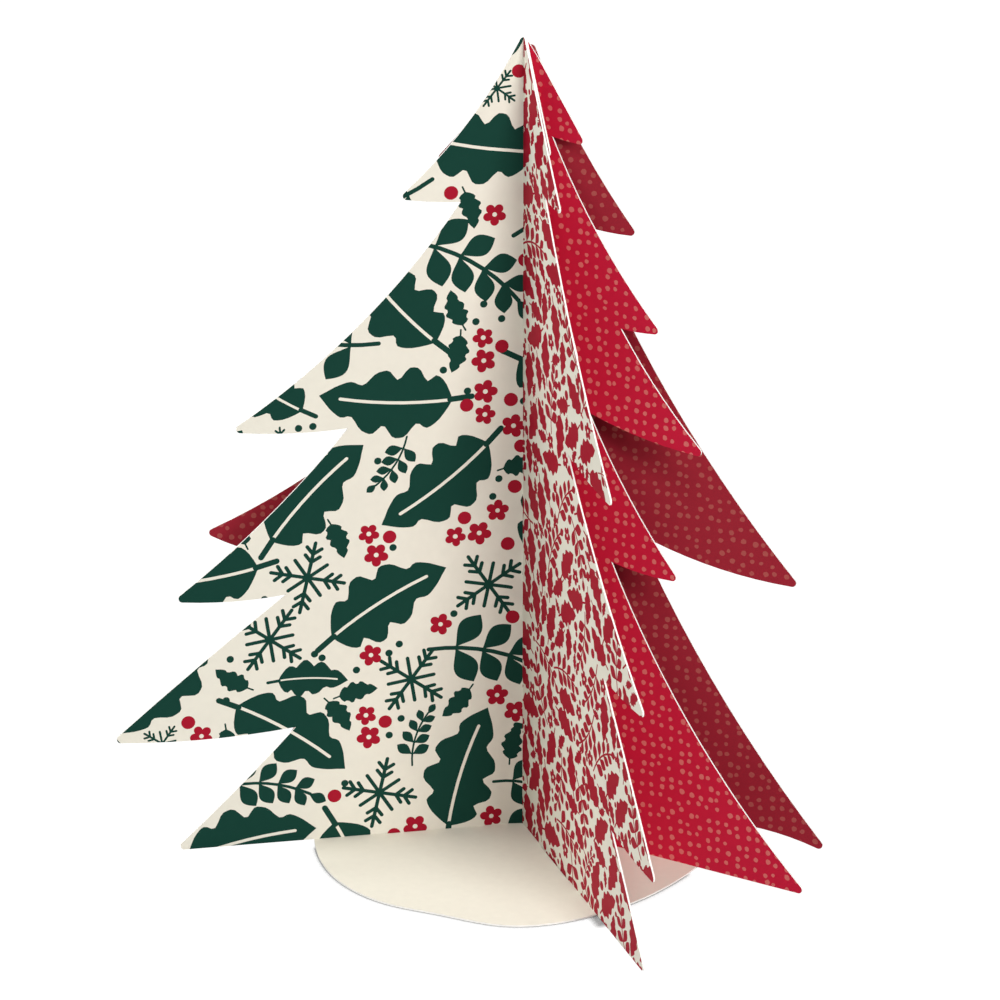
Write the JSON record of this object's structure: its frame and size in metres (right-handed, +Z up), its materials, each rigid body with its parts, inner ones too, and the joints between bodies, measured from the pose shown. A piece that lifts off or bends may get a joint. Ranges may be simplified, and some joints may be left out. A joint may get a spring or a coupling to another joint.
{
  "type": "pop up card",
  "caption": "Free-standing folded paper tree: nested tree-shaped sheets, each folded once, fan out from one upright fold on a round base card.",
  "frame": {"origin": "on the table plane, under the upright fold that the sheets share", "axes": "+Z up along the folds, -Y towards the viewer, the widest leaves along X"},
  "size_m": [0.1682, 0.1394, 0.2],
  "materials": {
    "front_sheet": "printed card, matte",
    "side_sheet": "printed card, matte",
    "back_sheet": "printed card, matte",
    "base": "uncoated card, matte"
  },
  "bodies": {
    "root": {"front_tree_card": "front_sheet", "side_tree_card": "side_sheet", "back_tree_card": "back_sheet", "base_card": "base"}
  },
  "joints": []
}
